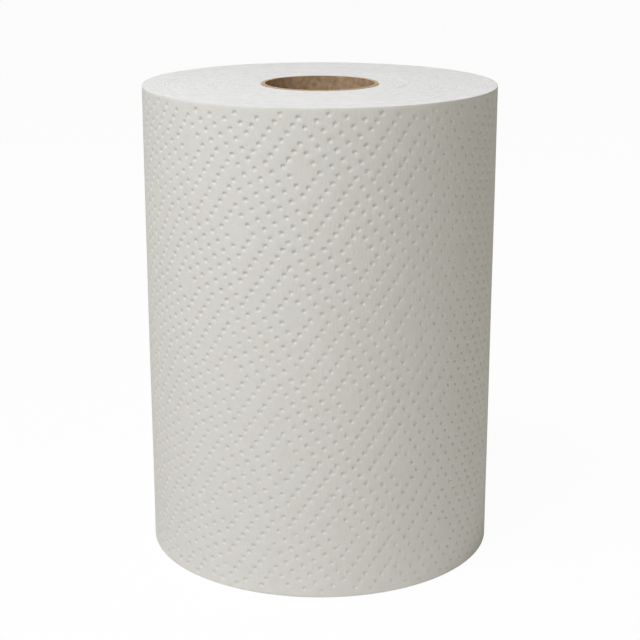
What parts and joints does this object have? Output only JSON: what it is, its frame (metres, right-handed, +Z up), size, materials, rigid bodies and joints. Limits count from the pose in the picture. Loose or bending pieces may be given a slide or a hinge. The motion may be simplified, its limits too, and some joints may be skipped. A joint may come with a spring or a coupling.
{
  "type": "paper towel roll",
  "caption": "Hard-wound roll of embossed white paper towel on an open cardboard core, standing on its flat sawn end.",
  "frame": {"origin": "on the core's axis, in the plane of the lower sawn end", "axes": "+Z up along the core's axis to the upper end; the web's free end lies on the +Y side, turned a little towards -X"},
  "size_m": [0.1508, 0.1507, 0.2032],
  "materials": {
    "towel_paper": "off-white creped towel paper, embossed with dots in nested diamonds, matt",
    "core_board": "brown recycled kraft board, spirally wound, matt with fine fibres"
  },
  "bodies": {
    "root": {"towel_web": "towel_paper", "core_tube": "core_board"}
  },
  "joints": []
}
